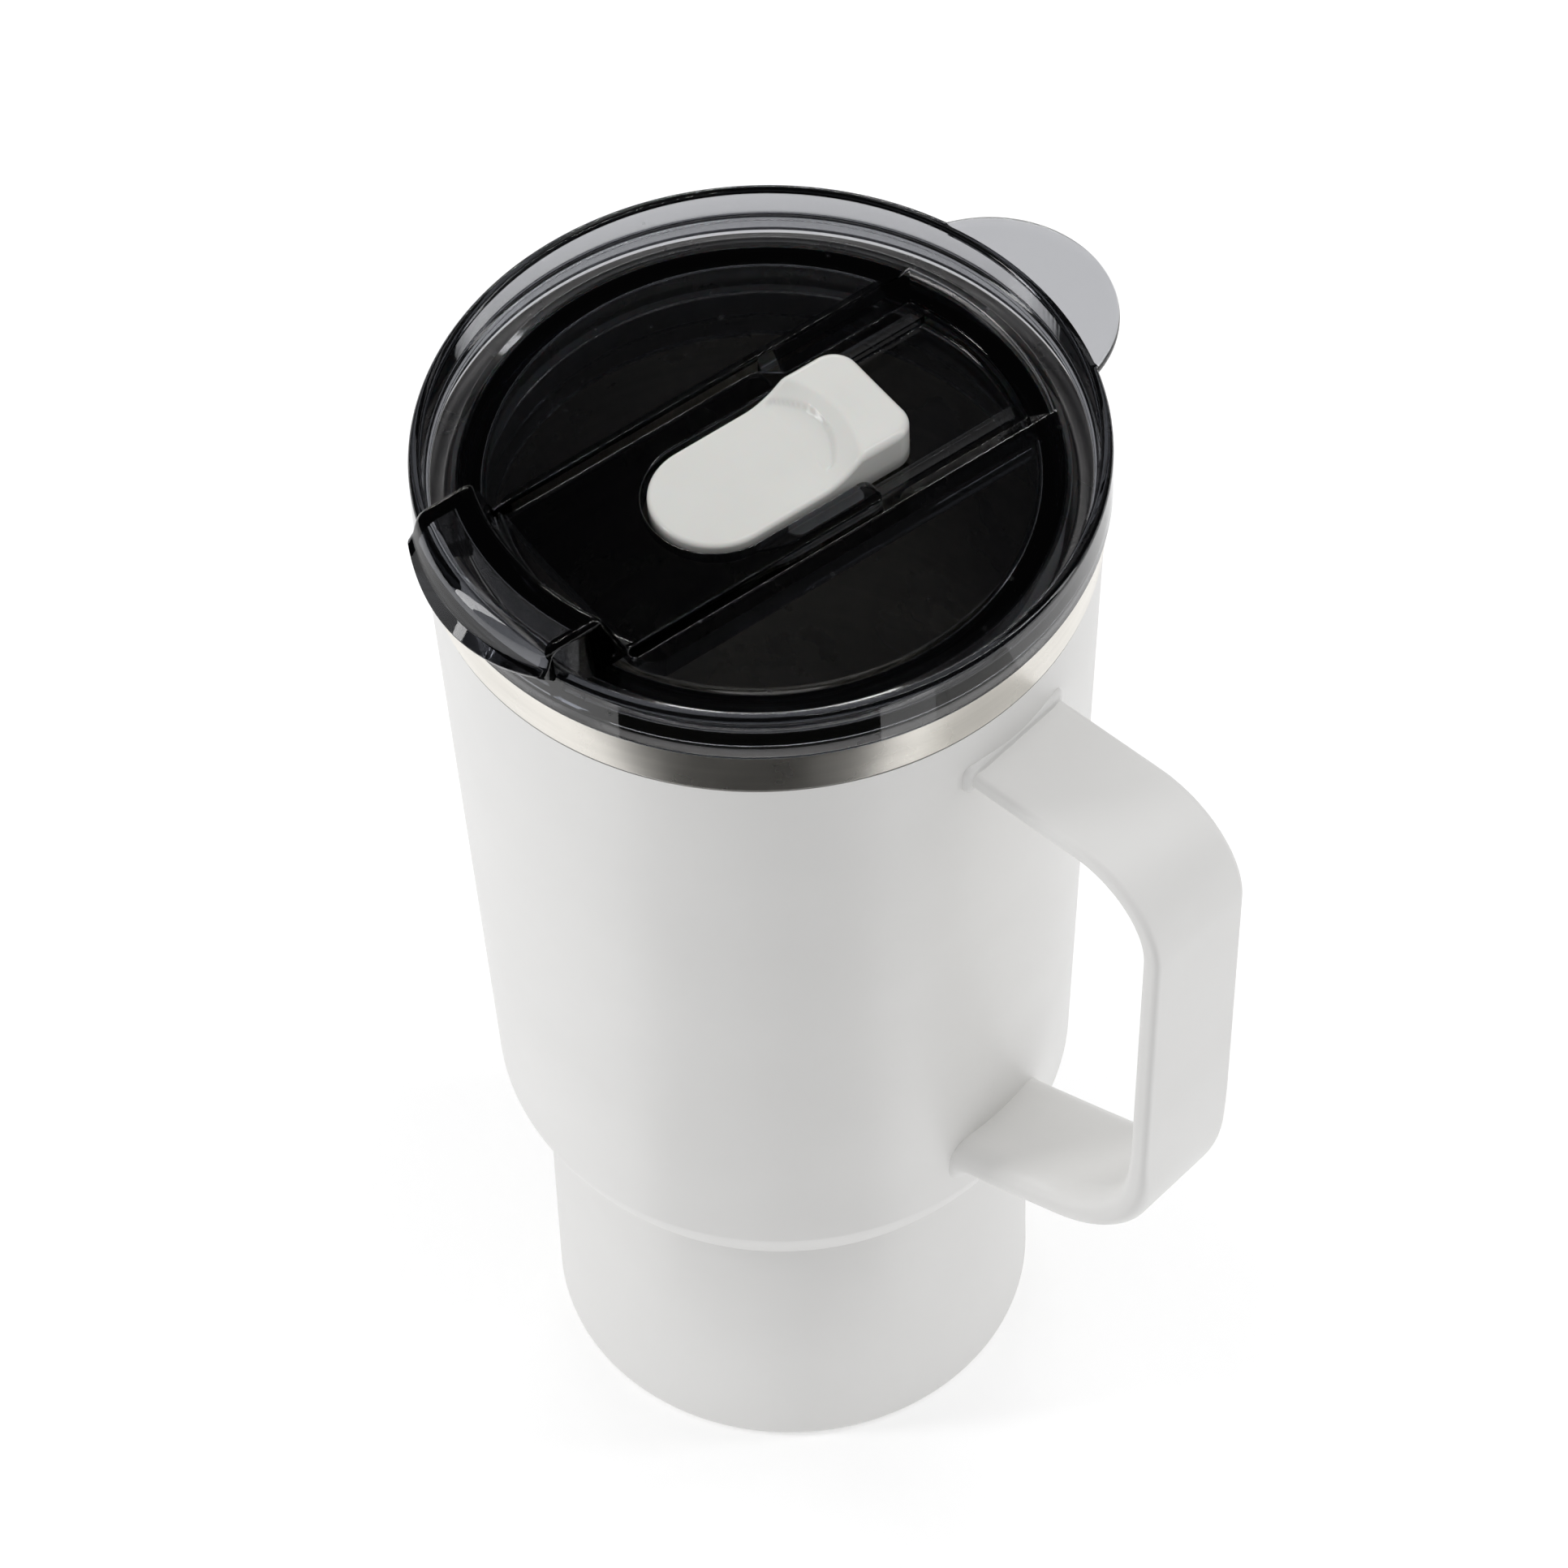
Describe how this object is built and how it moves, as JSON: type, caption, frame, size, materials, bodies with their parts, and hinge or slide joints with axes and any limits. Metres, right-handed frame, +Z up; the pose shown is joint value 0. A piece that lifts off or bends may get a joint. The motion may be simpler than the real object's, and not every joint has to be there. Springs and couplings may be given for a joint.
{
  "type": "insulated travel mug",
  "caption": "Double-wall steel travel mug with a stepped cup-holder base, a strap handle and a clear smoke lid with a raised spout, a sliding closure and a lift tab.",
  "frame": {"origin": "centre of the flat base that the mug stands on", "axes": "+Z up along the mug's axis, +X out along the handle"},
  "size_m": [0.1305, 0.1104, 0.198],
  "materials": {
    "coat": "satin powder coat, warm white",
    "steel": "brushed round the axis",
    "solder": "dull solder",
    "getter_metal": "sintered, matt",
    "smoke_clear": "clear smoke-tinted copolyester, polished",
    "silicone": "translucent grey silicone",
    "slider_white": "semi-gloss moulded plastic, warm white"
  },
  "bodies": {
    "mug": {"outer_shell": "coat", "inner_liner": "steel", "base_plate": "coat", "vacuum_seal": "solder", "getter": "getter_metal", "handle_strap": "coat", "handle_upper_pad": "coat", "handle_lower_pad": "coat"},
    "lid": {"lid_body": "smoke_clear", "lid_gasket": "silicone"},
    "closure": {"slider": "slider_white", "slider_seal": "silicone"}
  },
  "joints": [
    {"name": "lid_lift", "type": "slide", "parent": "mug", "child": "lid", "axis": [0, 0, 1], "range_m": [0, 0.06]},
    {"name": "slider_slide", "type": "slide", "parent": "lid", "child": "closure", "axis": [0.1891, 0.982, 0], "range_m": [0, 0.015]}
  ]
}
